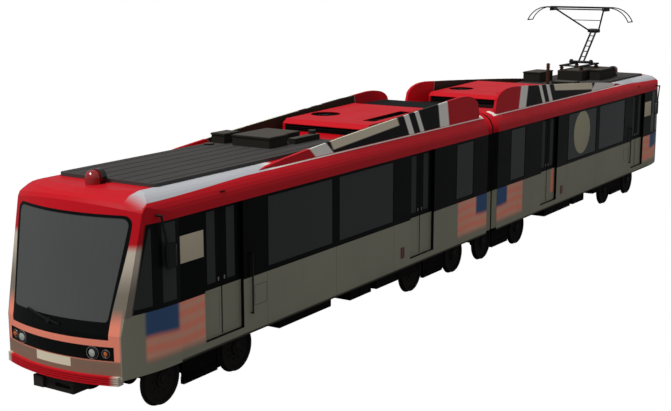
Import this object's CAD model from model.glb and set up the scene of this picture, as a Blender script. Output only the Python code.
"""Dresses the articulated tram: paint, glass, bellows, trim, lamps, light and camera around its solids."""

import logging
import math
from dataclasses import dataclass
from enum import Enum
from typing import Callable, Sequence, Union

import bpy
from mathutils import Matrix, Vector


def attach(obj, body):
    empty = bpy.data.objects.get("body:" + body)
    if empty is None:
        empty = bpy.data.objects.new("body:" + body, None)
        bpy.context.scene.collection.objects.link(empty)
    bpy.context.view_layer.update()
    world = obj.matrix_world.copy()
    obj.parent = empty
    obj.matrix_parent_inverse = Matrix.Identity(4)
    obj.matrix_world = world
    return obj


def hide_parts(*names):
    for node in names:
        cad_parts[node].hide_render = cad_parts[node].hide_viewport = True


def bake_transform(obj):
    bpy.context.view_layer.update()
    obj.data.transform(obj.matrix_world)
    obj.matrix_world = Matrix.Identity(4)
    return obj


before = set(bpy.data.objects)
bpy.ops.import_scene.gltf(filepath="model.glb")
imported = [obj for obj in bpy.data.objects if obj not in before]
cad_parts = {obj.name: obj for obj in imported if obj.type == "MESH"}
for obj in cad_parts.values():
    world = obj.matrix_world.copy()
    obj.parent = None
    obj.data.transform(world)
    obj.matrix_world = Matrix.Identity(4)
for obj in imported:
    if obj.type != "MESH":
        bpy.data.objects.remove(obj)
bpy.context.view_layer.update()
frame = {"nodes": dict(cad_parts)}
LOG = logging.getLogger("tram")

Socket = bpy.types.NodeSocket
Value = Union[float, Socket]
Colour = Union[tuple[float, float, float], Socket]
Point = tuple[float, float, float]
Span = tuple[float, float]
Area = tuple[float, float, float, float]

SIDES = (1, -1)
ACROSS = (math.pi / 2, 0.0, 0.0)


class Section(Enum):
    """The two halves of the tram, by the turn that takes the front half onto them."""

    FRONT = 0
    REAR = 180

    @property
    def tag(self) -> str:
        """Word that starts the names of the section's nodes."""
        return self.name.lower()

    @property
    def body(self) -> str:
        """Name of the section's rigid body."""
        return f"{self.tag}_section"

    def place(self, x: float, y: float, z: float) -> Point:
        """Point of the front half, turned onto this section."""
        sign = 1.0 if self is Section.FRONT else -1.0
        return (sign * x, sign * y, z)


def lin(red: int, green: int, blue: int) -> tuple[float, float, float]:
    """Linear colour from 8-bit display values.

    Args:
        red: Red from 0 to 255.
        green: Green from 0 to 255.
        blue: Blue from 0 to 255.

    Returns:
        The colour as three linear floats.
    """

    def one(v: int) -> float:
        """One channel."""
        c = v / 255.0
        return c / 12.92 if c <= 0.04045 else ((c + 0.055) / 1.055) ** 2.4

    return (one(red), one(green), one(blue))


RED = lin(199, 17, 31)
GREY = lin(148, 146, 128)
TAUPE = lin(130, 122, 108)
BLACK = lin(5, 6, 6)
WHITE = lin(188, 189, 192)
PEARL = lin(206, 192, 174)
IVORY = lin(236, 224, 196)
SNOW = lin(246, 242, 232)
SALMON = lin(253, 148, 122)
BLUSH = lin(142, 114, 96)
PALE = lin(234, 170, 144)
BLUE = lin(60, 91, 132)
DECK = lin(70, 67, 65)
CASE = lin(38, 36, 31)
CASE_TOP = lin(78, 74, 67)
OLIVE = lin(46, 44, 35)
GLASS = lin(57, 60, 59)
AMBER = lin(196, 96, 30)
ROAD_DUST = lin(104, 92, 78)


class Graph:
    """Small builder for one shader node tree."""

    def __init__(self, tree: bpy.types.NodeTree) -> None:
        """Keeps the tree that the nodes go into."""
        self.tree = tree

    def node(self, kind: str, **settings: object) -> bpy.types.Node:
        """Adds a node and sets its plain properties.

        Args:
            kind: Node type, such as ShaderNodeMath.
            **settings: Properties set on the node.

        Returns:
            The new node.
        """
        made = self.tree.nodes.new(kind)
        for key, value in settings.items():
            setattr(made, key, value)
        return made

    def feed(self, socket: Socket, value: object) -> None:
        """Links a socket, or sets its own number or colour.

        Args:
            socket: Input of a node.
            value: Socket to link, number, or colour.
        """
        if isinstance(value, bpy.types.NodeSocket):
            self.tree.links.new(value, socket)
        elif isinstance(value, tuple) and len(value) == 3 and socket.type == "RGBA":
            socket.default_value = (*value, 1.0)
        else:
            socket.default_value = value

    def math(self, operation: str, a: Value, b: Value = 0.0, clamp: bool = False) -> Socket:
        """One step of arithmetic.

        Args:
            operation: Name of the operation, such as ADD.
            a: First value.
            b: Second value.
            clamp: Whether the result is kept from 0 to 1.

        Returns:
            The socket with the result.
        """
        made = self.node("ShaderNodeMath", operation=operation, use_clamp=clamp)
        self.feed(made.inputs[0], a)
        self.feed(made.inputs[1], b)
        return made.outputs[0]

    def plus(self, a: Value, b: Value) -> Socket:
        """Sum of two values."""
        return self.math("ADD", a, b)

    def minus(self, a: Value, b: Value) -> Socket:
        """Difference of two values."""
        return self.math("SUBTRACT", a, b)

    def times(self, a: Value, b: Value) -> Socket:
        """Product of two values."""
        return self.math("MULTIPLY", a, b)

    def size(self, value: Value) -> Socket:
        """Value without its sign."""
        return self.math("ABSOLUTE", value)

    def length(self, a: Value, b: Value) -> Socket:
        """Length of a vector with two parts."""
        return self.math("SQRT", self.plus(self.times(a, a), self.times(b, b)))

    def ramp(self, value: Value, low: float, high: float, a: float = 0.0, b: float = 1.0) -> Socket:
        """Smooth step of a value.

        Args:
            value: What is stepped.
            low: Where the step starts.
            high: Where it ends.
            a: Result at the start.
            b: Result at the end.

        Returns:
            The socket with the result.
        """
        made = self.node("ShaderNodeMapRange", interpolation_type="SMOOTHSTEP")
        for index, number in enumerate((value, low, high, a, b)):
            self.feed(made.inputs[index], number)
        return made.outputs[0]

    def above(self, value: Value, edge: float, soft: float = 0.004) -> Socket:
        """Mask that is 1 above an edge."""
        return self.ramp(value, edge - soft, edge + soft)

    def band(self, value: Value, low: Value, high: Value, soft: float = 0.004) -> Socket:
        """Mask that is 1 between two values.

        Args:
            value: What is tested.
            low: Lower edge.
            high: Upper edge.
            soft: Width of the blurred edge.

        Returns:
            The mask socket.
        """
        up = self.above(self.minus(value, low), 0.0, soft)
        down = self.above(self.minus(high, value), 0.0, soft)
        return self.times(up, down)

    def both(self, *masks: Value) -> Socket:
        """Product of several masks.

        Args:
            *masks: The masks.

        Returns:
            The mask socket.
        """
        result = masks[0]
        for mask in masks[1:]:
            result = self.times(result, mask)
        return result

    def either(self, *masks: Value) -> Socket:
        """Largest of several masks.

        Args:
            *masks: The masks.

        Returns:
            The mask socket.
        """
        result = masks[0]
        for mask in masks[1:]:
            result = self.math("MAXIMUM", result, mask)
        return result

    def mix(self, mask: Value, a: Colour, b: Colour) -> Socket:
        """Colour b laid over colour a where the mask is 1.

        Args:
            mask: Share of b.
            a: Colour below.
            b: Colour above.

        Returns:
            The colour socket.
        """
        made = self.node("ShaderNodeMix", data_type="RGBA")
        self.feed(made.inputs[0], mask)
        self.feed(made.inputs[6], a)
        self.feed(made.inputs[7], b)
        return made.outputs[2]

    def place(self) -> tuple[Socket, Socket, Socket, Socket]:
        """Object coordinates, whole and split.

        Returns:
            The vector, and its X, Y and Z.
        """
        where = self.node("ShaderNodeTexCoord")
        split = self.node("ShaderNodeSeparateXYZ")
        self.tree.links.new(where.outputs["Object"], split.inputs[0])
        return where.outputs["Object"], split.outputs[0], split.outputs[1], split.outputs[2]

    def upward(self) -> Socket:
        """How far the surface faces up.

        Returns:
            The socket with -1 to 1.
        """
        split = self.node("ShaderNodeSeparateXYZ")
        self.tree.links.new(self.node("ShaderNodeTexCoord").outputs["Normal"], split.inputs[0])
        return split.outputs[2]

    def noise(self, vector: Socket, scale: float, detail: float = 3.0, stretch: Point = (1, 1, 1)) -> Socket:
        """Cloudy pattern.

        Args:
            vector: Coordinates that it follows.
            scale: Number of clouds in a metre.
            detail: Octaves.
            stretch: Scale of each axis.

        Returns:
            The value socket.
        """
        mapping = self.node("ShaderNodeMapping")
        mapping.inputs["Scale"].default_value = stretch
        self.tree.links.new(vector, mapping.inputs["Vector"])
        made = self.node("ShaderNodeTexNoise")
        made.inputs["Scale"].default_value = scale
        made.inputs["Detail"].default_value = detail
        self.tree.links.new(mapping.outputs[0], made.inputs["Vector"])
        return made.outputs[0]

    def group(self, tree: bpy.types.NodeTree, **values: object) -> bpy.types.Node:
        """Places a shared effect.

        Args:
            tree: The node group.
            **values: Inputs by name, with spaces as underscores.

        Returns:
            The group node.
        """
        made = self.node("ShaderNodeGroup")
        made.node_tree = tree
        for key, value in values.items():
            self.feed(made.inputs[key.replace("_", " ")], value)
        return made


class Effects:
    """Shared effects, each made once as a node group."""

    COLOUR = "NodeSocketColor"
    NUMBER = "NodeSocketFloat"
    CLOUD_SCALE = 2.2
    CLOUD_DIRT = (0.3, 0.75)
    CLOUD_GLOSS = (0.2, 0.8, -0.03, 0.05)
    STREAK_STRETCH = (6.0, 6.0, 0.35)
    STREAK_SCALE = 3.0
    STREAK_DIRT = (0.55, 0.85)
    STREAK_SHARE = 0.35
    DUST_RISE = (0.35, 1.0, 1.0, 0.0)
    DUST_ROUGHNESS = 0.4
    TONE_SCALE = 0.5
    TONE = (0.2, 0.8, 0.94, 1.05)
    WAVE_SCALE = 1.4
    FLAG_WAVE = 4.3
    FLAG_WAVE_RISE = 0.02
    FLAG_STRIPE = 0.21
    FLAG_BLUR = (-1.1, 1.1, 0.1, 0.9)
    FLAG_SOFT = 0.035
    FLAG_FOOT = (0.99, 1.14)
    CORNER_SOFT = 0.05
    CORNER_FOOT = (1.35, 1.47)

    _made: dict[str, bpy.types.NodeTree] = {}

    @classmethod
    def _new(
        cls, name: str, inputs: Sequence[tuple[str, str, object]], outputs: Sequence[tuple[str, str]],
    ) -> tuple[bpy.types.NodeTree, Graph, bpy.types.Node, bpy.types.Node]:
        """Empty group with its sockets.

        Args:
            name: Group name.
            inputs: Name, socket type and default of each input.
            outputs: Name and socket type of each output.

        Returns:
            The tree, its builder, the input node and the output node.
        """
        tree = bpy.data.node_groups.new(name, "ShaderNodeTree")
        for label, kind, default in inputs:
            socket = tree.interface.new_socket(label, in_out="INPUT", socket_type=kind)
            socket.default_value = default
        for label, kind in outputs:
            tree.interface.new_socket(label, in_out="OUTPUT", socket_type=kind)
        graph = Graph(tree)
        cls._made[name] = tree
        return tree, graph, graph.node("NodeGroupInput"), graph.node("NodeGroupOutput")

    @classmethod
    def weather(cls) -> bpy.types.NodeTree:
        """Road dust that thickens towards the ground, streaks down walls and a slow change of tone.

        Returns:
            The node group.
        """
        if "weather" in cls._made:
            return cls._made["weather"]
        tree, g, start, end = cls._new(
            "weather",
            [("Colour", cls.COLOUR, (0.5, 0.5, 0.5, 1)), ("Dust", cls.NUMBER, 0.3), ("Top", cls.NUMBER, 1.2),
             ("Roughness", cls.NUMBER, 0.4)],
            [("Colour", cls.COLOUR), ("Roughness", cls.NUMBER)],
        )
        vector, _, _, z = g.place()
        cloud = g.noise(vector, cls.CLOUD_SCALE, 4.0)
        streak = g.noise(vector, cls.STREAK_SCALE, 3.0, cls.STREAK_STRETCH)
        low = g.ramp(g.math("DIVIDE", z, start.outputs["Top"]), *cls.DUST_RISE)
        dirt = g.times(low, g.ramp(cloud, *cls.CLOUD_DIRT))
        dirt = g.either(dirt, g.times(g.ramp(streak, *cls.STREAK_DIRT), cls.STREAK_SHARE))
        dirt = g.math("MULTIPLY", dirt, start.outputs["Dust"], clamp=True)
        tone = g.ramp(g.noise(vector, cls.TONE_SCALE, 2.0), *cls.TONE)
        shade = g.node("ShaderNodeMix", data_type="RGBA", blend_type="MULTIPLY")
        shade.inputs[0].default_value = 1.0
        g.feed(shade.inputs[6], start.outputs["Colour"])
        g.feed(shade.inputs[7], tone)
        g.feed(end.inputs["Colour"], g.mix(dirt, shade.outputs[2], ROAD_DUST))
        rough = g.plus(start.outputs["Roughness"], g.times(dirt, cls.DUST_ROUGHNESS))
        rough = g.math("ADD", rough, g.ramp(cloud, *cls.CLOUD_GLOSS), clamp=True)
        g.feed(end.inputs["Roughness"], rough)
        return tree

    @classmethod
    def grain(cls) -> bpy.types.NodeTree:
        """Fine height pattern of sprayed paint, cast skin or cloth.

        Returns:
            The node group.
        """
        if "grain" in cls._made:
            return cls._made["grain"]
        tree, g, start, end = cls._new(
            "grain", [("Fine", cls.NUMBER, 90.0), ("Wave", cls.NUMBER, 0.3)], [("Height", cls.NUMBER)]
        )
        vector = g.place()[0]
        fine = g.node("ShaderNodeTexNoise")
        g.feed(fine.inputs["Vector"], vector)
        g.feed(fine.inputs["Scale"], start.outputs["Fine"])
        wave = g.times(g.noise(vector, cls.WAVE_SCALE, 2.0), start.outputs["Wave"])
        g.feed(end.inputs["Height"], g.plus(fine.outputs[0], wave))
        return tree

    @classmethod
    def flag(cls) -> bpy.types.NodeTree:
        """Soft striped block with a blue corner, over a wall colour, between two distances from the hinge.

        Returns:
            The node group.
        """
        if "flag" in cls._made:
            return cls._made["flag"]
        tree, g, start, end = cls._new(
            "flag",
            [("Colour", cls.COLOUR, (0.2, 0.2, 0.2, 1)), ("Near", cls.NUMBER, 0.2), ("Far", cls.NUMBER, 1.65),
             ("Corner near", cls.NUMBER, 0.2), ("Corner far", cls.NUMBER, 0.78)],
            [("Colour", cls.COLOUR)],
        )
        _, x, _, z = g.place()
        away = g.size(x)
        wave = g.times(g.math("SINE", g.times(away, cls.FLAG_WAVE)), cls.FLAG_WAVE_RISE)
        height = g.plus(z, wave)
        stripes = g.math("SINE", g.times(height, 2 * math.pi / cls.FLAG_STRIPE))
        cloth = g.mix(g.ramp(stripes, *cls.FLAG_BLUR), SALMON, PALE)
        near, far = start.outputs["Corner near"], start.outputs["Corner far"]
        corner = g.both(g.band(away, near, far, cls.CORNER_SOFT), g.ramp(height, *cls.CORNER_FOOT))
        cloth = g.mix(corner, cloth, BLUE)
        area = g.both(g.band(away, start.outputs["Near"], start.outputs["Far"], cls.FLAG_SOFT),
                      g.ramp(z, *cls.FLAG_FOOT))
        g.feed(end.inputs["Colour"], g.mix(area, start.outputs["Colour"], cloth))
        return tree


@dataclass(frozen=True)
class Finish:
    """A surface finish: its plain values, and the rule that paints it.

    Attributes:
        name: Material name.
        colour: Main colour.
        roughness: Gloss of the clean surface.
        metallic: 1 for bare metal.
        coat: Weight of the clear coat.
        shine: Strength of the plain reflection.
        dust: Amount of road dust.
        dust_top: Height where the dust ends.
        fine: Grains in a metre.
        wave: Share of slow waves in the grain.
        bump: Depth of the grain in metres.
    """

    COAT_ROUGHNESS = 0.12
    BUMP_STRENGTH = 0.35

    name: str
    colour: tuple[float, float, float]
    roughness: float = 0.42
    metallic: float = 0.0
    coat: float = 0.0
    shine: float = 0.5
    dust: float = 0.35
    dust_top: float = 1.3
    fine: float = 60.0
    wave: float = 0.4
    bump: float = 0.0004

    def paint(self, g: Graph) -> Colour:
        """Colour over the surface, before dust."""
        return self.colour

    def gloss(self, g: Graph) -> Value:
        """Roughness of the clean surface."""
        return self.roughness

    def build(self) -> bpy.types.Material:
        """Makes the material once.

        Returns:
            The material.
        """
        known = bpy.data.materials.get(self.name)
        if known:
            return known
        material = bpy.data.materials.new(self.name)
        material.use_nodes = True
        g = Graph(material.node_tree)
        shader = material.node_tree.nodes["Principled BSDF"]
        worn = g.group(Effects.weather(), Colour=self.paint(g), Dust=self.dust, Top=self.dust_top,
                       Roughness=self.gloss(g))
        g.feed(shader.inputs["Base Color"], worn.outputs["Colour"])
        g.feed(shader.inputs["Roughness"], worn.outputs["Roughness"])
        shader.inputs["Metallic"].default_value = self.metallic
        shader.inputs["Coat Weight"].default_value = self.coat
        shader.inputs["Coat Roughness"].default_value = self.COAT_ROUGHNESS
        shader.inputs["Specular IOR Level"].default_value = self.shine
        grain = g.group(Effects.grain(), Fine=self.fine, Wave=self.wave)
        bump = g.node("ShaderNodeBump")
        bump.inputs["Strength"].default_value = self.BUMP_STRENGTH
        bump.inputs["Distance"].default_value = self.bump
        g.feed(bump.inputs["Height"], grain.outputs[0])
        g.feed(shader.inputs["Normal"], bump.outputs[0])
        self.extra(g, shader)
        return material

    def extra(self, g: Graph, shader: bpy.types.Node) -> None:
        """Further shader settings of one finish."""


@dataclass(frozen=True)
class Level:
    """Heights and lengths that the livery follows, in metres.

    Attributes:
        skirt: Height of the walls' lower edge.
        sill: Height of the windows' sill.
        band: Height of the window band's upper edge.
        lamp: Height of the headlamps.
        rake_from: Height where the front starts to lean back.
        lean: Slope of the front.
        front: Distances from the hinge between which the sides fade into the front.
        left: Places across between which the left side fades in.
    """

    skirt: float = 0.861
    sill: float = 1.798
    band: float = 3.094
    lamp: float = 1.252
    rake_from: float = 1.47
    lean: float = math.tan(math.radians(11.8))
    front: Span = (11.69, 11.74)
    left: Span = (0.0, 0.1)


LEVEL = Level()
INNER_FLAG = {"Near": 0.24, "Far": 1.65, "Corner_near": 0.2, "Corner_far": 0.79}
OUTER_FLAG = {"Near": 10.125, "Far": 11.42, "Corner_near": 10.74, "Corner_far": 11.5}


def wall_flags(g: Graph, ground: Colour) -> Socket:
    """The two striped blocks of a side wall, laid over its own colour.

    Args:
        g: Builder of the material.
        ground: Colour of the wall.

    Returns:
        The colour socket.
    """
    inner = g.group(Effects.flag(), Colour=ground, **INNER_FLAG)
    return g.group(Effects.flag(), Colour=inner.outputs[0], **OUTER_FLAG).outputs[0]


def upright(g: Graph, away: Socket, z: Socket) -> Socket:
    """Distance from the hinge, as if the raked front stood upright.

    Args:
        g: Builder of the material.
        away: Distance from the hinge.
        z: Height.

    Returns:
        The distance socket.
    """
    above = g.math("MAXIMUM", g.minus(z, LEVEL.rake_from), 0.0)
    return g.plus(away, g.times(above, LEVEL.lean))


# In the paints below, sizes are in metres. A pair is where a mask starts and where it is full, or the two
# edges of a band, and a third number is how soft the edges are.


class PanelPaint(Finish):
    """Grey side panels with their striped blocks."""

    SKIN = (1.318, 1.323)
    EDGE = (LEVEL.skirt + 0.02, LEVEL.skirt + 0.05)
    EDGE_SHARE = 0.9

    def paint(self, g: Graph) -> Colour:
        """Grey skin, darker along the skirt edge, and black inside.

        Args:
            g: Builder of the material.

        Returns:
            The colour socket.
        """
        _, _, y, z = g.place()
        edge = g.ramp(z, *self.EDGE, self.EDGE_SHARE, 0.0)
        hidden = g.ramp(g.size(y), *self.SKIN, 1.0, 0.0)
        return g.mix(hidden, wall_flags(g, g.mix(edge, self.colour, BLACK)), BLACK)


class LeafPaint(Finish):
    """Door leaves: grey below the sill, black above, dark glass strips."""

    PANE_Z = (1.88, 3.05)
    PANE_FACE = (1.2525, 1.2535)
    PANE_GREY = lin(58, 60, 58)
    PATCH_X = (-3.66, -3.5, 0.01)
    PATCH_Z = (1.2, 1.78, 0.03)

    def paint(self, g: Graph) -> Colour:
        """Grey and black split at the sill, with a red patch on one leaf.

        Args:
            g: Builder of the material.

        Returns:
            The colour socket.
        """
        _, x, y, z = g.place()
        pane = g.both(g.band(z, *self.PANE_Z), g.ramp(g.size(y), *self.PANE_FACE, 1.0, 0.0))
        patch = g.both(g.band(x, *self.PATCH_X), g.band(z, *self.PATCH_Z), g.ramp(y, *LEVEL.left))
        colour = g.mix(patch, g.mix(g.above(z, LEVEL.sill), self.colour, BLACK), SALMON)
        return g.mix(pane, colour, self.PANE_GREY)


class PodPaint(Finish):
    """Red climate pod, black inside its louvre, fan and slot."""

    BETWEEN_PODS = (-0.6, 0.0)
    FRONT_WALLS = (-1.2, 4.8)
    LOUVRE_FACE = (0.002, 0.001)
    LOUVRE_BACK = (-0.09, -0.088)
    LOUVRE_SIDE = (0.912, 0.908)
    LOUVRE_Z = (3.553, 3.68)
    LID_Z = 3.7625
    LID_FALL = -0.0231
    SUNK_DEPTH = (0.008, 0.012)
    SUNK_Z = (3.69, 3.7)
    SUNK_X = (-2.1, -0.5)

    def paint(self, g: Graph) -> Colour:
        """Red outside, black in the recesses, by distance from the pod's front wall and lid.

        Args:
            g: Builder of the material.

        Returns:
            The colour socket.
        """
        _, x, y, z = g.place()
        ahead = g.minus(x, g.ramp(x, *self.BETWEEN_PODS, *self.FRONT_WALLS))
        louvre = g.both(g.ramp(ahead, *self.LOUVRE_FACE), g.ramp(ahead, *self.LOUVRE_BACK),
                        g.band(z, *self.LOUVRE_Z), g.ramp(g.size(y), *self.LOUVRE_SIDE))
        lid = g.plus(g.times(ahead, self.LID_FALL), self.LID_Z)
        sunk = g.both(g.ramp(g.minus(lid, z), *self.SUNK_DEPTH), g.ramp(z, *self.SUNK_Z),
                      g.band(ahead, *self.SUNK_X))
        return g.mix(g.either(louvre, sunk), self.colour, BLACK)


class DeckPaint(Finish):
    """Grey roof deck with darker boxes, black covers and brown insulators."""

    FACES_UP = (0.6, 0.9)
    BOX_FOOT = (3.583, 3.587)
    COVER_END = (5.5, 5.48)
    POST_FRONT = (-6.0, -6.01)
    POST_BACK = (-6.14, -6.13)
    POST_SIDE = (0.08, 0.07)
    POST_FOOT = (3.6, 3.61)
    INSULATOR_X = (-8.91, -7.62)
    INSULATOR_Y = (0.2, 0.37)
    INSULATOR_Z = (3.852, 3.954)
    BROWN = lin(84, 52, 38)

    def paint(self, g: Graph) -> Colour:
        """Colour by height and place, with the tops of the boxes bleached.

        Args:
            g: Builder of the material.

        Returns:
            The colour socket.
        """
        _, x, y, z = g.place()
        side = g.size(y)
        case = g.mix(g.ramp(g.upward(), *self.FACES_UP), CASE, CASE_TOP)
        colour = g.mix(g.ramp(z, *self.BOX_FOOT), self.colour, case)
        colour = g.mix(g.ramp(g.size(x), *self.COVER_END), colour, BLACK)
        post = g.both(g.ramp(x, *self.POST_FRONT), g.ramp(x, *self.POST_BACK), g.ramp(side, *self.POST_SIDE),
                      g.ramp(z, *self.POST_FOOT))
        foot = g.both(g.band(z, *self.INSULATOR_Z), g.band(side, *self.INSULATOR_Y),
                      g.band(x, *self.INSULATOR_X))
        return g.mix(g.either(post, foot), colour, self.BROWN)


class ShoulderLine:
    """White line along the roof's shoulder, with a wide patch on the left."""

    SOFT = 0.003
    LINE_SIDE = (1.174, 1.197)
    LINE_END = (11.2, 11.1)
    PATCH_INNER = 0.95
    PATCH_TAPER = (8.0, 11.2, 1.185, 1.245)
    PATCH_START = (7.95, 8.15)
    PATCH_END = (11.48, 11.2)
    CAP_SIDE = (1.0, 1.2)
    CAP_END = (0.42, 0.4)
    FOOT = (3.3, 3.32)

    @classmethod
    def mask(cls, g: Graph, away: Socket, y: Socket, z: Socket) -> Socket:
        """Mask of the line, the patch and the white cap at the hinge.

        Args:
            g: Builder of the material.
            away: Distance from the hinge.
            y: Place across, left positive.
            z: Height.

        Returns:
            The mask socket.
        """
        side = g.size(y)
        line = g.both(g.band(side, *cls.LINE_SIDE, cls.SOFT), g.ramp(away, *cls.LINE_END))
        patch = g.both(g.band(side, cls.PATCH_INNER, g.ramp(away, *cls.PATCH_TAPER)),
                       g.ramp(away, *cls.PATCH_START), g.ramp(away, *cls.PATCH_END), g.ramp(y, *LEVEL.left))
        cap = g.both(g.band(side, *cls.CAP_SIDE, cls.SOFT), g.ramp(away, *cls.CAP_END))
        return g.both(g.either(line, patch, cap), g.ramp(z, *cls.FOOT))


class RoofPaint(Finish):
    """Red roof with its white shoulder line."""

    SNOW_END = (8.4, 8.0)

    def paint(self, g: Graph) -> Colour:
        """Red with a thin white line that widens towards the cab.

        Args:
            g: Builder of the material.

        Returns:
            The colour socket.
        """
        _, x, y, z = g.place()
        away = g.size(x)
        white = g.mix(g.ramp(away, *self.SNOW_END), WHITE, SNOW)
        return g.mix(ShoulderLine.mask(g, away, y, z), self.colour, white)


class CabPaint(Finish):
    """Cab shell: red dome, black screen surround, shaded pillars, grey sides, red bumper."""

    CORNER = (1.12, 1.17)
    CORNER_TOP = (1.79, 1.76)
    BLUSH_TOP = (1.12, 1.16)
    PILLAR = ((1.62, 1.95, TAUPE), (2.05, 2.66, PEARL), (2.7, 2.84, RED))
    PLATE_SIDE = (0.348, 0.344)
    PLATE_Z = (1.003, 1.138)
    SCREEN_FOOT = 1.46
    SCREEN_TOP = 3.232
    SCREEN_TAPER = (1.46, 3.2, 0.975, 1.15)
    SCREEN_ROUND = 0.14
    LAMPS_SIDE = (1.055, 1.045)
    LAMPS_Z = (1.147, 1.358)
    BUMPER_TOP = (0.926, 0.93)
    BUMPER_END = (0.98, 1.1)

    def paint(self, g: Graph) -> Colour:
        """Paint by height and by distance from the corner of the nose.

        Args:
            g: Builder of the material.

        Returns:
            The colour socket.
        """
        _, x, y, z = g.place()
        away, side = g.size(x), g.size(y)
        sides = g.mix(g.above(z, LEVEL.sill), wall_flags(g, GREY), BLACK)
        corner = g.ramp(side, *self.CORNER)
        screen = self.screen(g, side, z)
        face = g.mix(screen, self.pillar(g, corner, side, z), BLACK)
        face = g.mix(g.both(g.band(z, *self.LAMPS_Z), g.ramp(side, *self.LAMPS_SIDE)), face, BLACK)
        bumper = g.mix(g.ramp(side, *self.BUMPER_END), self.colour, PEARL)
        face = g.mix(g.ramp(z, *self.BUMPER_TOP), bumper, face)
        face = g.mix(g.both(corner, g.ramp(z, *self.CORNER_TOP)), face, sides)
        colour = g.mix(g.ramp(upright(g, away, z), *LEVEL.front), sides, face)
        dome = g.both(g.above(z, LEVEL.band), g.minus(1.0, screen))
        colour = g.mix(dome, colour, self.colour)
        return g.mix(ShoulderLine.mask(g, away, y, z), colour, WHITE)

    def pillar(self, g: Graph, corner: Socket, side: Socket, z: Socket) -> Socket:
        """Shades of the front below and beside the screen, with the blank plate.

        Args:
            g: Builder of the material.
            corner: Mask of the cab's corners.
            side: Distance from the middle plane.
            z: Height.

        Returns:
            The colour socket.
        """
        colour = g.mix(g.ramp(z, *self.BLUSH_TOP), BLUSH, g.mix(corner, SALMON, TAUPE))
        for low, high, tone in self.PILLAR:
            colour = g.mix(g.ramp(z, low, high), colour, tone)
        plate = g.both(g.band(z, *self.PLATE_Z), g.ramp(side, *self.PLATE_SIDE))
        return g.mix(plate, colour, IVORY)

    def screen(self, g: Graph, side: Socket, z: Socket) -> Socket:
        """Mask of the black surround: tapered, with round upper corners.

        Args:
            g: Builder of the material.
            side: Distance from the middle plane.
            z: Height.

        Returns:
            The mask socket.
        """
        half = g.ramp(z, *self.SCREEN_TAPER)
        over = g.math("MAXIMUM", g.plus(g.minus(side, half), self.SCREEN_ROUND), 0.0)
        high = g.math("MAXIMUM", g.minus(z, self.SCREEN_TOP - self.SCREEN_ROUND), 0.0)
        inside = g.minus(1.0, g.above(g.length(over, high), self.SCREEN_ROUND))
        return g.both(g.above(z, self.SCREEN_FOOT), inside)


class FairingPaint(Finish):
    """Roof fairings with slanted stripes."""

    FOOT = 3.6
    HINGE = (-0.1, 0.1)
    TIP_LEAN = 1.2
    TIPS = (8.1, 6.98)
    TIP_FADE = (-0.03, 0.04)
    END_LEAN = 0.2
    END_SHIFT = (0.0, 0.15)
    RED_END = (1.66, 1.72)
    BLACK_START = (2.06, 2.12)
    BLACK_END = (6.44, 6.38)
    STRIPE_LEAN = 0.6
    STRIPES = ((3.38, 3.58), (2.97, 3.13))
    STRIPE_SOFT = 0.02
    SWOOSH = (3.85, 6.3, 0.04)
    SWOOSH_Z = 3.985
    SWOOSH_FALL = -0.075
    SWOOSH_SOFT = 0.014
    INNER_FACE = (1.14, 1.13)

    def paint(self, g: Graph) -> Colour:
        """Red ends, black middle, white and cream stripes, dark inner faces.

        Args:
            g: Builder of the material.

        Returns:
            The colour socket.
        """
        _, x, y, z = g.place()
        away, rise = g.size(x), g.minus(z, self.FOOT)
        lean = g.minus(away, g.times(rise, self.TIP_LEAN))
        slant = g.size(g.minus(x, g.times(rise, self.STRIPE_LEAN)))
        steep = g.minus(g.minus(away, g.times(rise, self.END_LEAN)), g.ramp(x, *self.HINGE, *self.END_SHIFT))
        tip = g.minus(g.ramp(x, *self.HINGE, *self.TIPS), lean)
        middle = g.both(g.ramp(steep, *self.RED_END), g.ramp(tip, *self.TIP_FADE))
        colour = g.mix(middle, self.colour, SNOW)
        colour = g.mix(g.both(g.ramp(steep, *self.BLACK_START), g.ramp(lean, *self.BLACK_END)), colour, BLACK)
        top = g.minus(z, g.plus(g.times(away, self.SWOOSH_FALL), self.SWOOSH_Z))
        swoosh = g.both(g.band(slant, *self.SWOOSH), g.above(top, 0.0, self.SWOOSH_SOFT))
        colour = g.mix(swoosh, colour, IVORY)
        stripes = g.either(*(g.band(slant, *ends, self.STRIPE_SOFT) for ends in self.STRIPES))
        colour = g.mix(stripes, colour, SNOW)
        return g.mix(g.both(middle, g.ramp(g.size(y), *self.INNER_FACE)), colour, OLIVE)


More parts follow.
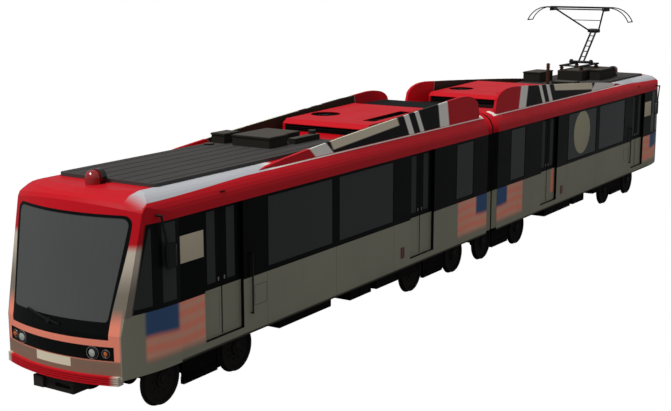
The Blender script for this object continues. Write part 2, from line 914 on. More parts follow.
class LampPaint(Finish):
    """Lamps: clear headlamps, amber corner lamps and side markers, red roof lamp."""

    HEAD = (0.717, 0.058)
    CORNER = (0.925, 0.036)
    BETWEEN = (0.84, 0.85)
    RIM_SOFT = 0.003
    MARKER = lin(104, 28, 22)
    MARKER_END = (9.0, 8.9)
    ROOF = lin(150, 34, 36)
    ROOF_FOOT = (3.0, 3.1)
    ROOF_SOCKET = (11.022, 11.02)

    def paint(self, g: Graph) -> Colour:
        """Colour by place.

        Args:
            g: Builder of the material.

        Returns:
            The colour socket.
        """
        _, x, y, z = g.place()
        away, side = g.size(x), g.size(y)
        head = g.mix(self.rim(g, side, z, *self.HEAD), self.colour, BLACK)
        corner = g.mix(self.rim(g, side, z, *self.CORNER), AMBER, BLACK)
        colour = g.mix(g.ramp(side, *self.BETWEEN), head, corner)
        colour = g.mix(g.ramp(away, *self.MARKER_END), colour, self.MARKER)
        roof = g.ramp(z, *self.ROOF_FOOT)
        colour = g.mix(roof, colour, self.ROOF)
        return g.mix(g.both(roof, g.ramp(away, *self.ROOF_SOCKET)), colour, BLACK)

    def rim(self, g: Graph, side: Socket, z: Socket, middle: float, radius: float) -> Socket:
        """Mask of a lamp's dark rim.

        Args:
            g: Builder of the material.
            side: Distance from the middle plane.
            z: Height.
            middle: Distance of the lamp's centre from the middle plane.
            radius: Radius of the clear part.

        Returns:
            The mask socket.
        """
        reach = g.length(g.minus(side, middle), g.minus(z, LEVEL.lamp))
        return g.above(reach, radius, self.RIM_SOFT)


class TintedGlass(Finish):
    """Dark glass, a little paler in the windscreen."""

    SCREEN = lin(87, 88, 87)
    CLEAR = 0.12
    INDEX = 1.5

    def paint(self, g: Graph) -> Colour:
        """Tint by place.

        Args:
            g: Builder of the material.

        Returns:
            The colour socket.
        """
        _, x, _, z = g.place()
        return g.mix(g.ramp(upright(g, g.size(x), z), *LEVEL.front), self.colour, self.SCREEN)

    def extra(self, g: Graph, shader: bpy.types.Node) -> None:
        """Lets a little of the inside show."""
        shader.inputs["Transmission Weight"].default_value = self.CLEAR
        shader.inputs["IOR"].default_value = self.INDEX


class SignFace(Finish):
    """Blank sign face with a faint light of its own."""

    GLOW = 0.04

    def extra(self, g: Graph, shader: bpy.types.Node) -> None:
        """Lets the face glow a little."""
        shader.inputs["Emission Color"].default_value = (*self.colour, 1.0)
        shader.inputs["Emission Strength"].default_value = self.GLOW


class BellowsCloth(Finish):
    """Bellows cloth in the colours of the walls, dark along the middle hoop."""

    HOOP = 0.04
    SOFT = 0.01

    def paint(self, g: Graph) -> Colour:
        """Bands by height with a black hoop.

        Args:
            g: Builder of the material.

        Returns:
            The colour socket.
        """
        _, x, _, z = g.place()
        colour = g.mix(g.above(z, LEVEL.sill, self.SOFT), self.colour, BLACK)
        colour = g.mix(g.above(z, LEVEL.band, self.SOFT), colour, RED)
        return g.mix(g.minus(1.0, g.above(g.size(x), self.HOOP)), colour, BLACK)


class Finishes:
    """All finishes of the tram, by the surface they are on."""

    panels = PanelPaint("side_panel_paint", GREY, 0.55, shine=0.12)
    band = Finish("window_band_gloss", BLACK, 0.35, shine=0.06, dust=0.03)
    leaf = LeafPaint("door_leaf_paint", GREY, 0.55, shine=0.08, dust=0.1)
    roof = RoofPaint("roof_red", RED, 0.45, coat=0.03, shine=0.12, dust=0.03)
    cab = CabPaint("cab_paint", RED, 0.45, coat=0.03, shine=0.12, dust=0.06)
    pod = PodPaint("pod_red", RED, 0.5, coat=0.02, shine=0.12, dust=0.04)
    fairing = FairingPaint("fairing_stripes", RED, 0.45, coat=0.02, shine=0.12, dust=0.03)
    deck = DeckPaint("roof_deck_grey", DECK, 0.75, shine=0.15, dust=0.05, fine=140.0, bump=0.0008)
    frame = Finish("frame_black", lin(9, 9, 8), 0.75, shine=0.08, dust=0.06, dust_top=1.0, fine=90.0,
                   bump=0.0007)
    bogie = Finish("bogie_black", lin(9, 8, 8), 0.75, shine=0.1, dust=0.06, dust_top=1.1, fine=80.0,
                   bump=0.0009)
    wheel = Finish("axle_black", lin(42, 39, 37), 0.7, shine=0.06, dust=0.02, dust_top=0.9, fine=120.0)
    steel = Finish("coupler_steel", lin(34, 33, 32), 0.55, metallic=0.3, shine=0.25, dust=0.2, fine=120.0)
    trim = Finish("fitting_black", lin(14, 14, 15), 0.5, shine=0.25, dust=0.1, fine=160.0)
    seat = Finish("seat_shell", lin(70, 74, 84), 0.6, dust=0.0, fine=200.0)
    lamp = LampPaint("lamp_lens", lin(176, 178, 168), 0.12, coat=0.4, dust=0.03)
    glass = TintedGlass("tinted_glass", GLASS, 0.16, shine=0.12, dust=0.04, bump=0.0001)
    tube = Finish("pantograph_dark", lin(30, 29, 30), 0.5, shine=0.3, dust=0.06, fine=120.0)
    strip = Finish("contact_graphite", lin(40, 40, 42), 0.55, metallic=0.3, shine=0.3, dust=0.0, fine=180.0)
    bellows = BellowsCloth("bellows_cloth", GREY, 0.8, shine=0.15, dust=0.2, fine=240.0, bump=0.0006)
    sign = SignFace("blank_sign", lin(188, 177, 153), 0.5, shine=0.2, dust=0.04)
    rubber = Finish("window_rubber", lin(12, 12, 12), 0.8, shine=0.15, dust=0.05, fine=220.0)
    bright = Finish("bright_steel", lin(150, 150, 150), 0.35, metallic=0.8, dust=0.05, fine=160.0)
    sticker = Finish("bare_sticker", lin(176, 170, 142), 0.6, shine=0.1, dust=0.05)
    seam = Finish("seam_grey", lin(70, 68, 60), 0.7, shine=0.15, dust=0.1)
    bolt = Finish("bolt_steel", lin(26, 25, 24), 0.5, metallic=0.4, shine=0.25, dust=0.1, fine=160.0)
    cloth = Finish("seat_cloth", lin(58, 44, 84), 0.9, shine=0.1, dust=0.0, fine=400.0, bump=0.0008)


class Dresser:
    """Gives every carried-over solid its finish."""

    BY_ENDING: dict[str, Finish] = {
        "_underframe": Finishes.frame, "_lower_walls": Finishes.panels, "_window_band": Finishes.band,
        "_roof": Finishes.roof, "_cab": Finishes.cab, "_glazing": Finishes.glass, "_roof_deck": Finishes.deck,
        "_climate_pod": Finishes.pod, "_fairings": Finishes.fairing, "_lamps": Finishes.lamp,
        "_coupler": Finishes.steel, "_mirrors": Finishes.trim, "_interior": Finishes.seat,
        "_fore": Finishes.leaf, "_aft": Finishes.leaf, "_bogie": Finishes.bogie,
        "_axle_1": Finishes.wheel, "_axle_2": Finishes.wheel,
        "bellows": Finishes.bellows, "panto_base": Finishes.deck, "panto_lower_arm": Finishes.tube,
        "panto_upper_arm": Finishes.tube, "panto_head": Finishes.strip,
    }

    def dress(self, nodes: dict[str, bpy.types.Object]) -> None:
        """Sets the material of each node.

        Args:
            nodes: The nodes by name.
        """
        for name, node in nodes.items():
            finish = next(f for ending, f in self.BY_ENDING.items() if name.endswith(ending))
            node.data.materials.clear()
            node.data.materials.append(finish.build())
            LOG.info("%s: %s", name, finish.name)


@dataclass
class Studio:
    """Camera, lights, floor and background.

    Attributes:
        eye: Place of the camera.
        yaw: Turn of the view in degrees.
        pitch: Downward slope of the view in degrees.
        focal: Focal length in picture widths.
        sensor: Width of the camera's sensor in millimetres.
        reach: Distance that the camera sees.
        sky: Colour of the sky's light.
        sky_strength: Strength of that light.
        suns: Name, strength, spread and turn of each lamp.
        floor_size: Width of the floor.
        floor_z: Height of the floor.
        floor_grey: Grey of the floor, as the tram sees it.
        floor_rough: Roughness of the floor.
    """

    eye: Point = (24.0794, 12.7007, 6.7662)
    yaw: float = 32.807
    pitch: float = 11.347
    focal: float = 1207.01 / 671.0
    sensor: float = 36.0
    reach: float = 400.0
    sky: Point = (0.92, 0.95, 1.0)
    sky_strength: float = 0.32
    suns: tuple[tuple[str, float, float, Point], ...] = (
        ("key", 2.5, 0.3, (0.5, 0.0, 1.2)), ("fill", 0.12, 0.9, (0.9, 0.0, 2.6)),
    )
    floor_size: float = 400.0
    floor_z: float = -0.004
    floor_grey: float = 0.16
    floor_rough: float = 0.9

    def build(self) -> None:
        """Makes everything that isn't the tram."""
        self.camera()
        self.light()
        self.floor()

    def camera(self) -> None:
        """Camera at the place and angle of the reference view."""
        yaw, pitch = math.radians(self.yaw), math.radians(self.pitch)
        look = Vector((-math.cos(yaw) * math.cos(pitch), -math.sin(yaw) * math.cos(pitch), -math.sin(pitch)))
        data = bpy.data.cameras.new("camera")
        data.sensor_fit = "HORIZONTAL"
        data.sensor_width = self.sensor
        data.lens = self.sensor * self.focal
        data.clip_end = self.reach
        made = bpy.data.objects.new("camera", data)
        made.location = self.eye
        made.rotation_euler = look.to_track_quat("-Z", "Y").to_euler()
        bpy.context.scene.collection.objects.link(made)
        bpy.context.scene.camera = made

    def light(self) -> None:
        """Soft sky, a key lamp ahead of the cab and a weak fill."""
        world = bpy.data.worlds.new("sky")
        bpy.context.scene.world = world
        world.use_nodes = True
        g = Graph(world.node_tree)
        ground = world.node_tree.nodes["Background"]
        ground.inputs["Color"].default_value = (*self.sky, 1.0)
        ground.inputs["Strength"].default_value = self.sky_strength
        plain = g.node("ShaderNodeBackground")
        plain.inputs["Color"].default_value = (1, 1, 1, 1)
        self.seen(g, ground, plain, world.node_tree.nodes["World Output"])
        for name, energy, size, turn in self.suns:
            data = bpy.data.lights.new(name, "SUN")
            data.energy = energy
            data.angle = size
            made = bpy.data.objects.new(name, data)
            made.rotation_euler = turn
            bpy.context.scene.collection.objects.link(made)

    def floor(self) -> None:
        """Floor that is plain white to the camera and dim to the tram."""
        bpy.ops.object.select_all(action="DESELECT")
        bpy.ops.mesh.primitive_plane_add(size=self.floor_size, location=(0, 0, self.floor_z))
        made = bpy.context.object
        made.name = "floor"
        material = bpy.data.materials.new("floor_white")
        material.use_nodes = True
        g = Graph(material.node_tree)
        paint = material.node_tree.nodes["Principled BSDF"]
        paint.inputs["Base Color"].default_value = (self.floor_grey, self.floor_grey, self.floor_grey, 1.0)
        paint.inputs["Roughness"].default_value = self.floor_rough
        plain = g.node("ShaderNodeEmission")
        self.seen(g, paint, plain, material.node_tree.nodes["Material Output"])
        made.data.materials.append(material)

    @staticmethod
    def seen(g: Graph, true: bpy.types.Node, plain: bpy.types.Node, end: bpy.types.Node) -> None:
        """Shows the camera a plain shader in place of the one that lights the tram.

        Args:
            g: Builder of the node tree.
            true: Shader that the tram sees.
            plain: Shader that the camera sees, also through glass.
            end: Output node.
        """
        path = g.node("ShaderNodeLightPath")
        join = g.node("ShaderNodeMixShader")
        g.feed(join.inputs[0], g.either(path.outputs["Is Camera Ray"], path.outputs["Is Transmission Ray"]))
        g.feed(join.inputs[1], true.outputs[0])
        g.feed(join.inputs[2], plain.outputs[0])
        g.feed(end.inputs["Surface"], join.outputs[0])


class Maker:
    """Makes one new piece by editing a primitive."""

    FLAT = 0.9
    SMOOTH_ANGLE = math.radians(35)

    @staticmethod
    def start(name: str, add: Callable[..., object], **settings: object) -> bpy.types.Object:
        """Adds a primitive at its place, with the place kept in the mesh.

        Args:
            name: Name of the piece.
            add: Primitive operator.
            **settings: Arguments of the operator.

        Returns:
            The new object.
        """
        bpy.ops.object.select_all(action="DESELECT")
        add(**settings)
        made = bpy.context.object
        made.name = name
        bpy.ops.object.transform_apply(location=True, rotation=True, scale=True)
        return made

    @staticmethod
    def block(name: str, low: Point, high: Point, bevel: float = 0.0) -> bpy.types.Object:
        """Block between two corners, with softened edges.

        Args:
            name: Name of the piece.
            low: Lowest corner.
            high: Highest corner.
            bevel: Width of the edge bevel.

        Returns:
            The new object.
        """
        middle = [(a + b) / 2 for a, b in zip(low, high)]
        size = [abs(b - a) for a, b in zip(low, high)]
        made = Maker.start(name, bpy.ops.mesh.primitive_cube_add, size=1.0, location=middle, scale=size)
        if bevel:
            Maker.soften(made, bevel)
        return made

    @staticmethod
    def ring(name: str, low: Point, high: Point, width: float) -> bpy.types.Object:
        """Flat frame in the XZ plane: a block whose two wide faces are inset, opened and bridged.

        Args:
            name: Name of the piece.
            low: One corner.
            high: The opposite corner.
            width: Width of the frame.

        Returns:
            The new object.
        """
        made = Maker.block(name, low, high)
        Maker.faces(made, lambda normal: abs(normal.y) > Maker.FLAT)
        bpy.ops.mesh.inset(thickness=width, use_individual=True)
        bpy.ops.mesh.bridge_edge_loops()
        bpy.ops.object.mode_set(mode="OBJECT")
        return made

    @staticmethod
    def faces(made: bpy.types.Object, test: Callable[[Vector], bool]) -> None:
        """Opens edit mode with the faces selected whose normal passes a test.

        Args:
            made: Piece to edit.
            test: Says whether a face with that normal is wanted.
        """
        bpy.context.view_layer.objects.active = made
        bpy.ops.object.mode_set(mode="EDIT")
        bpy.ops.mesh.select_mode(type="FACE")
        bpy.ops.mesh.select_all(action="DESELECT")
        bpy.ops.object.mode_set(mode="OBJECT")
        for face in made.data.polygons:
            face.select = test(face.normal)
        bpy.ops.object.mode_set(mode="EDIT")

    @staticmethod
    def join(name: str, pieces: Sequence[bpy.types.Object]) -> bpy.types.Object:
        """Joins several pieces into one.

        Args:
            name: Name of the joined piece.
            pieces: What is joined.

        Returns:
            The joined piece.
        """
        bpy.ops.object.select_all(action="DESELECT")
        for piece in pieces:
            piece.select_set(True)
        bpy.context.view_layer.objects.active = pieces[0]
        bpy.ops.object.join()
        pieces[0].name = name
        return pieces[0]

    @staticmethod
    def soften(made: bpy.types.Object, width: float, segments: int = 2) -> None:
        """Bevels the sharp edges of a piece and smooths the result.

        Args:
            made: Piece to bevel.
            width: Width of the bevel.
            segments: Faces across the bevel.
        """
        bevel = made.modifiers.new("bevel", "BEVEL")
        bevel.width = width
        bevel.segments = segments
        bevel.limit_method = "ANGLE"
        Maker.apply(made)

    @staticmethod
    def apply(made: bpy.types.Object) -> None:
        """Applies all modifiers of a piece and smooths it by angle.

        Args:
            made: The piece.
        """
        bpy.ops.object.select_all(action="DESELECT")
        made.select_set(True)
        bpy.context.view_layer.objects.active = made
        for modifier in list(made.modifiers):
            bpy.ops.object.modifier_apply(modifier=modifier.name)
        bpy.ops.object.shade_smooth_by_angle(angle=Maker.SMOOTH_ANGLE)

    @staticmethod
    def settle(made: bpy.types.Object, location: Point, rotation: Point = (0.0, 0.0, 0.0)) -> None:
        """Moves and turns a piece that was shaped at the origin, with its place kept in the mesh.

        Args:
            made: The piece.
            location: Where it goes.
            rotation: How it is turned.
        """
        bpy.ops.object.select_all(action="DESELECT")
        made.select_set(True)
        bpy.context.view_layer.objects.active = made
        made.location = location
        made.rotation_euler = rotation
        bpy.ops.object.transform_apply(location=True, rotation=True, scale=True)

    @staticmethod
    def pick(made: bpy.types.Object, test: Callable[[Vector], bool], mode: str = "VERT") -> None:
        """Opens edit mode with the matching vertices, or the edges and faces between them, selected.

        Args:
            made: Piece to edit.
            test: Says whether a vertex is wanted.
            mode: VERT, EDGE or FACE.
        """
        bpy.context.view_layer.objects.active = made
        bpy.ops.object.mode_set(mode="EDIT")
        bpy.ops.mesh.select_mode(type="VERT")
        bpy.ops.mesh.select_all(action="DESELECT")
        bpy.ops.object.mode_set(mode="OBJECT")
        for vertex in made.data.vertices:
            vertex.select = test(vertex.co)
        bpy.ops.object.mode_set(mode="EDIT")
        if mode != "VERT":
            bpy.ops.mesh.select_mode(type=mode)

    @staticmethod
    def done(made: bpy.types.Object, finish: Finish, body: str, slot: str) -> bpy.types.Object:
        """Ends a piece: finish, material slot and the body it rides on.

        Args:
            made: The piece.
            finish: Its finish.
            body: Body that carries it.
            slot: Material slot of the record.

        Returns:
            The piece.
        """
        made.data.materials.clear()
        made.data.materials.append(finish.build())
        if body:
            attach(made, body)
        LOG.info("%s on %s", made.name, body or "two bodies")
        return made


@dataclass
class Bellows:
    """Folded gangway bellows between the sections.

    Attributes:
        half_x: Half of the gap that it fills.
        half_y: Half of its width.
        foot: Height of its lower edge.
        crown: Height of its top.
        shoulder: Radius of its upper corners.
        shoulder_faces: Faces round such a corner.
        folds: Number of folds.
        depth: Depth of a fold.
        cloth: Thickness of the cloth.
    """

    half_x: float = 0.2585
    half_y: float = 1.319
    foot: float = 0.917
    crown: float = 3.519
    shoulder: float = 0.356
    shoulder_faces: int = 9
    folds: int = 8
    depth: float = 0.03
    cloth: float = 0.008

    @property
    def height(self) -> float:
        """Height of the tube."""
        return self.crown - self.foot

    @property
    def middle(self) -> float:
        """Height of the tube's middle."""
        return (self.crown + self.foot) / 2

    def build(self) -> bpy.types.Object:
        """Makes the folded tube and hangs it between the two sections.

        Returns:
            The piece.
        """
        made = Maker.start("gangway_bellows", bpy.ops.mesh.primitive_plane_add, size=1.0,
                           location=(-self.half_x, 0, self.middle), rotation=(0, math.pi / 2, 0))
        Maker.pick(made, lambda p: True)
        bpy.ops.transform.resize(value=(1.0, 2 * self.half_y, self.height),
                                 center_override=(0.0, 0.0, self.middle))
        bpy.ops.object.mode_set(mode="OBJECT")
        Maker.pick(made, lambda p: p.z > self.middle)
        bpy.ops.mesh.bevel(offset=self.shoulder, segments=self.shoulder_faces, affect="VERTICES")
        bpy.ops.mesh.select_all(action="SELECT")
        bpy.ops.mesh.delete(type="ONLY_FACE")
        self.fold()
        thick = made.modifiers.new("cloth", "SOLIDIFY")
        thick.thickness = self.cloth
        thick.offset = -1.0
        Maker.apply(made)
        Maker.done(made, Finishes.bellows, "", "bellows")
        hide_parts("bellows")
        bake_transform(made)
        return made

    def fold(self) -> None:
        """Draws the outline out ring by ring, every second ring drawn in."""
        bpy.ops.mesh.select_all(action="SELECT")
        step = self.half_x / self.folds
        inward = (1.0, 1.0 - self.depth / self.half_y, 1.0 - 2 * self.depth / self.height)
        outward = tuple(1.0 / share for share in inward)
        for ring in range(2 * self.folds):
            bpy.ops.mesh.extrude_region_move(TRANSFORM_OT_translate={"value": (step, 0.0, 0.0)})
            bpy.ops.transform.resize(value=outward if ring % 2 else inward,
                                     center_override=(0.0, 0.0, self.middle))
        bpy.ops.mesh.select_all(action="SELECT")
        bpy.ops.mesh.normals_make_consistent(inside=False)
        bpy.ops.object.mode_set(mode="OBJECT")


def side_word(side: int) -> str:
    """Word for a side of a section."""
    return "left" if side > 0 else "right"


@dataclass
class Trim:
    """Small pieces that ride on one section.

    Attributes:
        section: Section that carries them.
    """

    section: Section

    def end(self, made: bpy.types.Object, finish: Finish, slot: str) -> None:
        """Finishes a piece that rides on the section."""
        Maker.done(made, finish, self.section.body, slot)


@dataclass
class SideTrim(Trim):
    """Rubbers, signs and small outside fittings of one side of a section.

    An area is its start and end from the hinge, its foot and its head. Faces are an inner and an outer one,
    measured from the wall's skin.

    Attributes:
        side: 1 on the section's left, -1 on its right.
        wall: Distance of the wall's skin from the middle plane.
        windows: Start and end of each window.
        pane: Foot and head of the windows.
        rubber: Faces and width of a window rubber.
        sign: Area of the blank sign board.
        sign_faces: Faces of the board.
        hatch: Area of the small service hatch.
        hatch_seam: Faces and width of the hatch's seam.
        lock: Start and end of its lock, back from the hatch's end, with foot and head.
        lock_faces: Faces of the lock.
        vent: Area of the vent slit.
        vent_faces: Faces of the slit.
        seams: Places of the seams between panels.
        seam_half: Half the width of a seam.
        seam_z: Foot and head of a seam.
        seam_faces: Faces of a seam.
        disc_at: Place of the bare round sticker.
        disc_r: Radius of the sticker.
        disc_t: Thickness of the sticker.
        bevel: Bevel of the plates.
    """

    side: int
    wall: float = 1.325
    windows: tuple[Span, ...] = ((0.94, 1.75), (4.365, 6.315), (6.505, 8.48))
    pane: Span = (1.868, 3.062)
    rubber: Point = (-0.01, 0.003, 0.016)
    sign: Area = (10.145, 10.69, 2.385, 2.805)
    sign_faces: Span = (0.0, 0.006)
    hatch: Area = (8.52, 8.86, 1.3, 1.64)
    hatch_seam: Point = (-0.002, 0.0015, 0.006)
    lock: Area = (0.05, 0.02, 1.455, 1.485)
    lock_faces: Span = (0.0, 0.005)
    vent: Area = (9.56, 9.68, 3.305, 3.32)
    vent_faces: Span = (-0.04, -0.012)
    seams: tuple[float, ...] = (4.34, 6.4, 8.5)
    seam_half: float = 0.002
    seam_z: Span = (0.875, 1.79)
    seam_faces: Span = (-0.002, 0.001)
    disc_at: Point = (5.3, 1.3195, 2.506)
    disc_r: float = 0.55
    disc_t: float = 0.003
    bevel: float = 0.001

    def build(self) -> None:
        """Makes every piece of the side."""
        for index, ends in enumerate(self.windows):
            made = self.ring(f"window_rubber_{index}", (*ends, *self.pane), *self.rubber)
            self.end(made, Finishes.rubber, "trim_black")
        self.end(self.plate("sign_board", self.sign, *self.sign_faces), Finishes.sign, "trim_black")
        self.end(self.ring("hatch_seam", self.hatch, *self.hatch_seam), Finishes.seam, "side_panels")
        back, front, foot, head = self.lock
        lock = (self.hatch[1] - back, self.hatch[1] - front, foot, head)
        self.end(self.plate("hatch_lock", lock, *self.lock_faces), Finishes.bright, "steel")
        self.end(self.plate("vent_slit", self.vent, *self.vent_faces), Finishes.rubber, "trim_black")
        if self.section is Section.REAR and self.side < 0:
            self.disc()
        for index, x in enumerate(self.seams):
            area = (x - self.seam_half, x + self.seam_half, *self.seam_z)
            self.end(self.plate(f"panel_seam_{index}", area, *self.seam_faces), Finishes.seam, "side_panels")

    def disc(self) -> None:
        """Makes the bare round sticker on the first long window."""
        x, y, z = self.disc_at
        made = Maker.start(self.tag("window_disc"), bpy.ops.mesh.primitive_cylinder_add, vertices=72,
                           radius=self.disc_r, depth=self.disc_t,
                           location=self.section.place(x, self.side * y, z), rotation=ACROSS)
        Maker.soften(made, self.bevel)
        self.end(made, Finishes.sticker, "glass")

    def corners(self, area: Sequence[float], low: float, high: float) -> tuple[Point, Point]:
        """Corner points of a flat piece on the wall.

        Args:
            area: Start, end, foot and head of the piece.
            low: Its inner face.
            high: Its outer face.

        Returns:
            The two corners.
        """
        start, end, foot, head = area
        a = self.section.place(start, self.side * (self.wall + low), foot)
        b = self.section.place(end, self.side * (self.wall + high), head)
        return a, b

    def plate(self, name: str, area: Sequence[float], low: float, high: float) -> bpy.types.Object:
        """Flat plate on the wall."""
        return Maker.block(self.tag(name), *self.corners(area, low, high), bevel=self.bevel)

    def ring(self, name: str, area: Sequence[float], low: float, high: float,
             width: float) -> bpy.types.Object:
        """Flat frame on the wall."""
        return Maker.ring(self.tag(name), *self.corners(area, low, high), width=width)

    def tag(self, name: str) -> str:
        """Name of a piece with its section and side."""
        return f"{self.section.tag}_{side_word(self.side)}_{name}"


@dataclass
class LeafTrim:
    """Rubber round a leaf's glass, its edge seal and its push button.

    Each piece is given by its start and end from the middle of the doorway, its foot and head, and its inner
    and outer face from the face of the leaf.

    Attributes:
        section: Section of the doorway.
        side: 1 on the section's left, -1 on its right.
        door: Word for the doorway, outer or inner.
        middle: Middle of the doorway, from the hinge.
        way: 1 for the fore leaf, -1 for the aft leaf.
        face: Distance of the leaf's outer face from the middle plane.
        rubber: Place of the rubber.
        rubber_w: Width of the rubber.
        seal: Place of the seal.
        seal_bevel: Bevel of the seal.
        button: Place of the push button.
        button_bevel: Bevel of the button.
    """

    section: Section
    side: int
    door: str
    middle: float
    way: int
    face: float = 1.257
    rubber: Sequence[float] = (0.12, 0.37, 1.878, 3.052, -0.006, 0.003)
    rubber_w: float = 0.014
    seal: Sequence[float] = (0.0045, 0.016, 1.03, 3.12, -0.03, 0.002)
    seal_bevel: float = 0.002
    button: Sequence[float] = (0.06, 0.09, 1.9, 1.96, -0.004, 0.002)
    button_bevel: float = 0.001

    def build(self) -> None:
        """Makes the pieces and lets them ride on the leaf."""
        end = "fore" if self.way > 0 else "aft"
        body = f"{self.section.tag}_{side_word(self.side)}_{self.door}_leaf_{end}"
        rubber = Maker.ring(f"{body}_rubber", *self.corners(self.rubber), width=self.rubber_w)
        seal = Maker.block(f"{body}_seal", *self.corners(self.seal), bevel=self.seal_bevel)
        button = Maker.block(f"{body}_button", *self.corners(self.button), bevel=self.button_bevel)
        for made, finish in ((rubber, Finishes.rubber), (seal, Finishes.rubber), (button, Finishes.bright)):
            Maker.done(made, finish, body, "door_leaf")

    def corners(self, piece: Sequence[float]) -> tuple[Point, Point]:
        """Corner points of a flat piece on the leaf.

        Args:
            piece: Start, end, foot, head, inner face and outer face.

        Returns:
            The two corners.
        """
        start, end, foot, head, low, high = piece
        a = self.section.place(self.middle + self.way * start, self.side * (self.face + low), foot)
        b = self.section.place(self.middle + self.way * end, self.side * (self.face + high), head)
        return a, b


@dataclass
class CabTrim(Trim):
    """Lamp bezels, mirror glass and the driver's seat of one cab.

    Attributes:
        bezels: Distance ahead of the hinge, distance from the middle and ring radius of each lamp bezel.
        bezel_wire: Radius of a bezel's section.
        bezel_back: Share of the section that is left behind the ring's plane.
        nose_r: Radius of the bow of the nose, which turns the bezels.
        mirror: Two corners of a mirror's glass.
        mirror_bevel: Bevel of the glass.
        cushion: Two corners of the seat's cushion.
        back: Two corners of the seat's back.
        pad_bevel: Bevel of cushion and back.
        post_at: Middle of the seat's post.
        post_r: Radius of the post.
        post_h: Height of the post.
        post_bevel: Bevel of the post.
    """

    bezels: tuple[Point, ...] = ((11.968, 0.717, 0.096), (11.912, 0.925, 0.061))
    bezel_wire: float = 0.006
    bezel_back: float = 0.3
    nose_r: float = 3.0
    mirror: tuple[Point, Point] = ((10.8825, 1.372, 2.415), (10.8865, 1.428, 2.745))
    mirror_bevel: float = 0.001
    cushion: tuple[Point, Point] = ((10.78, -0.24, 1.42), (11.14, 0.24, 1.54))
    back: tuple[Point, Point] = ((10.72, -0.23, 1.54), (10.82, 0.23, 2.2))
    pad_bevel: float = 0.04
    post_at: Point = (10.95, 0.0, 1.213)
    post_r: float = 0.09
    post_h: float = 0.43
    post_bevel: float = 0.01

    def build(self) -> None:
        """Makes every piece of the cab."""
        for side in SIDES:
            for index, bezel in enumerate(self.bezels):
                self.bezel(f"{self.section.tag}_bezel_{index}_{side}", side, *bezel)
            low, high = (self.section.place(x, side * y, z) for x, y, z in self.mirror)
            made = Maker.block(f"{self.section.tag}_mirror_glass_{side}", low, high, self.mirror_bevel)
            self.end(made, Finishes.bright, "trim_black")
        self.seat()

    def bezel(self, name: str, side: int, x: float, y: float, radius: float) -> None:
        """Makes a lamp bezel: a ring, flattened at its back and turned with the bow of the nose.

        Args:
            name: Name of the piece.
            side: 1 on the section's left, -1 on its right.
            x: Distance ahead of the hinge.
            y: Distance from the middle plane.
            radius: Radius of the ring.
        """
        made = Maker.start(name, bpy.ops.mesh.primitive_torus_add, major_radius=radius,
                           minor_radius=self.bezel_wire, major_segments=40, minor_segments=8)
        Maker.pick(made, lambda p: p.z < -0.001)
        bpy.ops.transform.resize(value=(1.0, 1.0, self.bezel_back), center_override=(0.0, 0.0, 0.0))
        bpy.ops.object.mode_set(mode="OBJECT")
        turn = side * math.asin(y / self.nose_r) + math.radians(self.section.value)
        Maker.settle(made, self.section.place(x, side * y, LEVEL.lamp), (0.0, math.pi / 2, turn))
        Maker.apply(made)
        self.end(made, Finishes.bright, "lamps")

    def seat(self) -> None:
        """Makes the driver's seat on its pedestal."""
        place, tag = self.section.place, self.section.tag
        pieces = [Maker.block(f"{tag}_driver_{word}", place(*low), place(*high), self.pad_bevel)
                  for word, (low, high) in (("cushion", self.cushion), ("back", self.back))]
        post = Maker.start(f"{tag}_driver_post", bpy.ops.mesh.primitive_cylinder_add, radius=self.post_r,
                           depth=self.post_h, location=place(*self.post_at))
        Maker.soften(post, self.post_bevel)
        for made in (*pieces, post):
            self.end(made, Finishes.seat, "interior")


@dataclass
class WheelTrim:
    """Hub cap and ring of bolts on both wheels of one axle.

    Attributes:
        node: Name of the axle, which is also its body.
        x: Place of the axle.
        z: Height of the axle.
        cap_y: Distance of a cap from the middle plane.
        cap_r: Radius of a cap.
        cap_t: Thickness of a cap.
        cap_bevel: Bevel of a cap.
        bolts: Number of bolts on a wheel.
        ring_r: Radius of the ring of bolts.
        bolt_y: Distance of a bolt from the middle plane.
        bolt_r: Radius of a bolt over its corners.
        bolt_h: Height of a bolt.
        bolt_bevel: Bevel of a bolt.
    """

    node: str
    x: float
    z: float = 0.433
    cap_y: float = 0.785
    cap_r: float = 0.07
    cap_t: float = 0.012
    cap_bevel: float = 0.004
    bolts: int = 10
    ring_r: float = 0.2
    bolt_y: float = 0.748
    bolt_r: float = 0.016
    bolt_h: float = 0.024
    bolt_bevel: float = 0.002

    def build(self) -> None:
        """Makes the caps and bolts as one piece."""
        made = []
        for side in SIDES:
            cap = Maker.start("cap", bpy.ops.mesh.primitive_cylinder_add, radius=self.cap_r, depth=self.cap_t,
                              vertices=32, location=(self.x, side * self.cap_y, self.z), rotation=ACROSS)
            Maker.soften(cap, self.cap_bevel)
            made.extend((cap, self.ring(side)))
        Maker.done(Maker.join(f"{self.node}_bolts", made), Finishes.bolt, self.node, "wheel_steel")

    def ring(self, side: int) -> bpy.types.Object:
        """Makes one bolt and copies it round the wheel.

        Args:
            side: 1 on the left, -1 on the right.

        Returns:
            The ring of bolts.
        """
        made = Maker.start("bolt", bpy.ops.mesh.primitive_cylinder_add, radius=self.bolt_r, depth=self.bolt_h,
                           vertices=6, location=(self.x + self.ring_r, side * self.bolt_y, self.z),
                           rotation=ACROSS)
        Maker.soften(made, self.bolt_bevel)
        Maker.pick(made, lambda p: True)
        bpy.ops.mesh.spin(steps=self.bolts - 1, dupli=True, angle=2 * math.pi * (1 - 1 / self.bolts),
                          center=(self.x, 0.0, self.z), axis=(0.0, 1.0, 0.0))
        bpy.ops.object.mode_set(mode="OBJECT")
        return made


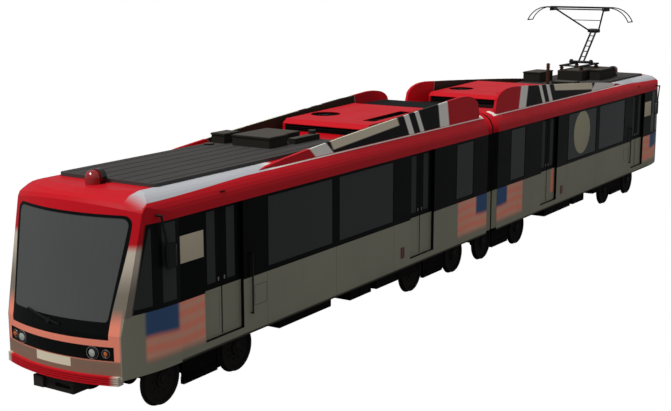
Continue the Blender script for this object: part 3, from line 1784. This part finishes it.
@dataclass
class BogieTrim:
    """Spring coils and sand boxes of one bogie.

    Attributes:
        node: Name of the bogie, which is also its body.
        x: Place of its pivot.
        spring_y: Distance of a spring from the middle plane.
        foot: Height of the spring's lower seat.
        head: Height of its upper seat.
        coil_r: Radius of the coil.
        wire_r: Radius of its wire.
        turns: Number of turns.
        turn_steps: Faces along one turn.
        sand_low: Corner of a sand box that is lowest and nearest the pivot.
        sand_high: Opposite corner, inside the side frame.
        sand_bevel: Bevel of a sand box.
    """

    node: str
    x: float
    spring_y: float = 0.55
    foot: float = 0.715
    head: float = 0.852
    coil_r: float = 0.15
    wire_r: float = 0.012
    turns: int = 3
    turn_steps: int = 28
    sand_low: Point = (0.5, 0.5, 0.12)
    sand_high: Point = (0.78, 0.6, 0.56)
    sand_bevel: float = 0.02

    def build(self) -> None:
        """Makes the coils and the boxes."""
        for side in SIDES:
            self.coil(side)
        for way in SIDES:
            for side in SIDES:
                low, high = ((self.x + way * x, side * y, z) for x, y, z in (self.sand_low, self.sand_high))
                made = Maker.block(f"{self.node}_sand_box_{way}_{side}", low, high, self.sand_bevel)
                Maker.done(made, Finishes.bogie, self.node, "bogie")

    def coil(self, side: int) -> None:
        """Makes a coil by turning a round wire up a screw.

        Args:
            side: 1 on the left, -1 on the right.
        """
        made = Maker.start(f"{self.node}_coil_{side}", bpy.ops.mesh.primitive_circle_add, radius=self.wire_r,
                           vertices=10, location=(self.coil_r, 0.0, 0.0), rotation=ACROSS)
        screw = made.modifiers.new("coil", "SCREW")
        screw.angle = 2 * math.pi * self.turns
        screw.screw_offset = self.head - self.foot
        screw.steps = screw.render_steps = self.turn_steps * self.turns
        Maker.apply(made)
        Maker.settle(made, (self.x, side * self.spring_y, self.foot))
        Maker.done(made, Finishes.bolt, self.node, "bogie")


@dataclass
class SeatPads(Trim):
    """Upholstery on the benches of one section.

    Attributes:
        first: Place of the first bench.
        step: Distance between benches.
        count: Number of benches on a side.
        pad: Two corners of a seat pad, from its bench.
        back: Two corners of a back pad, from its bench.
        bevel: Bevel of the pads.
    """

    first: float = 4.5
    step: float = 0.85
    count: int = 5
    pad: tuple[Point, Point] = ((0.17, 0.33, 1.437), (0.5, 1.1, 1.48))
    back: tuple[Point, Point] = ((0.125, 0.33, 1.52), (0.16, 1.1, 2.05))
    bevel: float = 0.015

    def build(self) -> None:
        """Makes a pad and a back pad on each bench."""
        for side in SIDES:
            for index in range(self.count):
                bench = self.first + self.step * index
                for name, ends in (("pad", self.pad), ("back_pad", self.back)):
                    low, high = (self.section.place(bench + x, side * y, z) for x, y, z in ends)
                    made = Maker.block(f"{self.section.tag}_{name}_{index}_{side}", low, high, self.bevel)
                    self.end(made, Finishes.cloth, "interior")


@dataclass
class Tram:
    """The dressed tram.

    Attributes:
        doors: Word and middle of each doorway on a side, from the hinge.
        bogies: Word and pivot of each bogie of a section, from the hinge.
        axles: Number and place of each axle, from the pivot.
    """

    doors: tuple[tuple[str, float], ...] = (("outer", 9.63), ("inner", 3.21))
    bogies: tuple[tuple[str, float], ...] = (("outer", 9.58), ("inner", 1.68))
    axles: tuple[tuple[int, float], ...] = ((1, 0.95), (2, -0.95))

    def build(self) -> None:
        """Dresses the solids and adds the new pieces."""
        Dresser().dress(frame["nodes"])
        Bellows().build()
        for section in Section:
            for side in SIDES:
                SideTrim(section, side).build()
                for door, middle in self.doors:
                    for way in SIDES:
                        LeafTrim(section, side, door, middle, way).build()
            CabTrim(section).build()
            SeatPads(section).build()
            for bogie, pivot in self.bogies:
                self.bogie(section, f"{section.tag}_{bogie}", pivot)

    def bogie(self, section: Section, tag: str, pivot: float) -> None:
        """Adds the pieces of one bogie and its axles.

        Args:
            section: Section that it carries.
            tag: Start of its nodes' names.
            pivot: Place of its pivot, from the hinge.
        """
        BogieTrim(f"{tag}_bogie", section.place(pivot, 0.0, 0.0)[0]).build()
        for index, offset in self.axles:
            WheelTrim(f"{tag}_axle_{index}", section.place(pivot + offset, 0.0, 0.0)[0]).build()


def main() -> None:
    """Builds the tram and its scene."""
    logging.basicConfig(level=logging.INFO, format="%(name)s: %(message)s")
    Tram().build()
    Studio().build()
    bpy.context.scene.view_settings.view_transform = "Standard"


if __name__ == "__main__":
    main()
